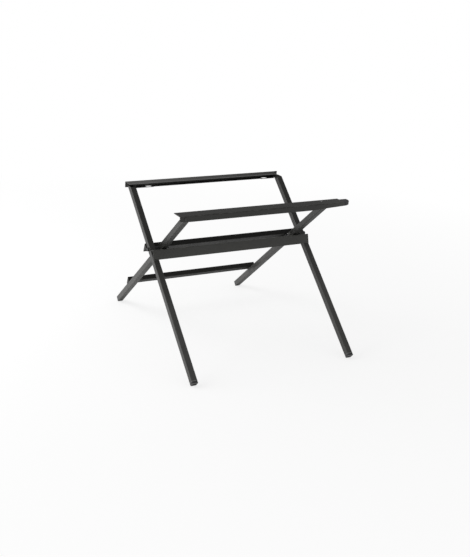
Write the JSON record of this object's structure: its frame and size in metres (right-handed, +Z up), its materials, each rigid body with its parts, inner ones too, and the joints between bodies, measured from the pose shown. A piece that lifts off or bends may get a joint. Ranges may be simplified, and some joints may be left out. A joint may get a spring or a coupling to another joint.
{
  "type": "folding table saw stand",
  "caption": "Folding scissor stand for a benchtop table saw: two crossing square-tube leg frames on a pivot, with top rails, stop rails and foot caps.",
  "frame": {"origin": "on the floor under the middle of the pivot axis, with the stand opened", "axes": "+X across the stand to the right, +Y to the rear, +Z up; the pivot axis runs along X"},
  "size_m": [0.6979, 0.805, 0.555],
  "materials": {
    "frame_paint": "satin black powder coat",
    "foot_plastic": "matt black moulded plastic",
    "cap_plastic": "matt black moulded plastic",
    "zinc_steel": "dull zinc plating"
  },
  "bodies": {
    "outer_frame": {"outer_leg_left": "frame_paint", "outer_leg_right": "frame_paint", "outer_foot_cap_left": "foot_plastic", "outer_foot_cap_right": "foot_plastic", "rear_top_rail": "frame_paint", "rear_rail_end_plate_left": "frame_paint", "rear_rail_end_plate_right": "frame_paint", "front_stop_rail": "frame_paint", "pivot_bolt_left": "zinc_steel", "pivot_bolt_right": "zinc_steel", "pivot_nut_left": "zinc_steel", "pivot_nut_right": "zinc_steel", "pivot_spacer_left": "zinc_steel", "pivot_spacer_right": "zinc_steel", "pivot_washers": "zinc_steel"},
    "inner_frame": {"inner_leg_left": "frame_paint", "inner_leg_right": "frame_paint", "inner_foot_cap_left": "foot_plastic", "inner_foot_cap_right": "foot_plastic", "front_top_rail": "frame_paint", "front_rail_end_cap": "cap_plastic", "front_rail_screw": "zinc_steel", "front_rail_screw_nut": "zinc_steel", "rear_stop_rail": "frame_paint", "rear_stop_end_plate_left": "frame_paint", "rear_stop_end_plate_right": "frame_paint", "lower_rear_rail": "frame_paint", "lower_rail_end_plate_left": "frame_paint", "lower_rail_end_plate_right": "frame_paint"}
  },
  "joints": [
    {"name": "fold", "type": "hinge", "parent": "outer_frame", "child": "inner_frame", "pos_m": [0, 0, 0.36146], "axis": [-1, 0, 0], "range_deg": [0, 88]}
  ]
}
